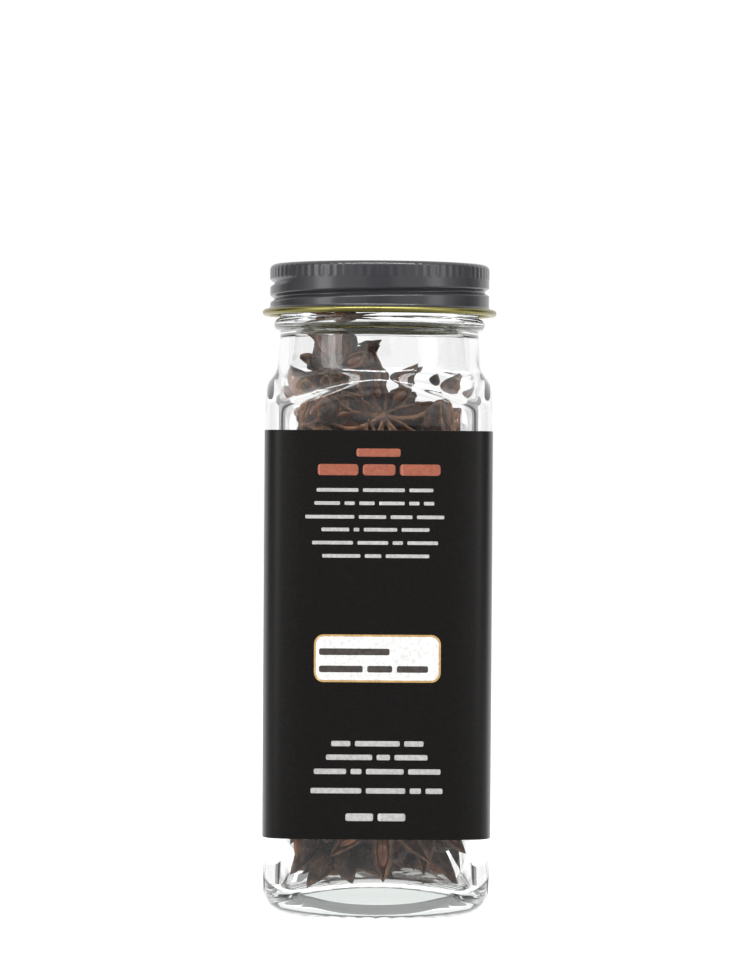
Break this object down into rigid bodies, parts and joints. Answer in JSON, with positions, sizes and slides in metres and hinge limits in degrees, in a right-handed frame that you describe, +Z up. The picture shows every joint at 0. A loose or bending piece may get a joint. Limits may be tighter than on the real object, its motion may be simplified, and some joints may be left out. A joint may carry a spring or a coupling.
{
  "type": "spice jar of star anise",
  "caption": "Square clear glass spice jar with a black screw cap and a plain wrap-round label, filled with whole star anise pods.",
  "frame": {"origin": "middle of the base, on the surface that the jar stands on", "axes": "+Z up along the jar's own axis, -Y towards the printed panel that the picture shows, +X to that panel's right"},
  "size_m": [0.0472, 0.0472, 0.1306],
  "materials": {
    "clear_glass": "clear polished soda-lime glass, faintly green at its edges",
    "black_lacquer": "satin black lacquer on tinplate, gold lacquer on the rolled lower edge",
    "black_paper": "matt black printed label",
    "dried_pod": "dry woody seed pod, dark brown and rough"
  },
  "bodies": {
    "root": {"jar": "clear_glass", "cap": "black_lacquer", "label": "black_paper", "star_anise": "dried_pod"}
  },
  "joints": []
}
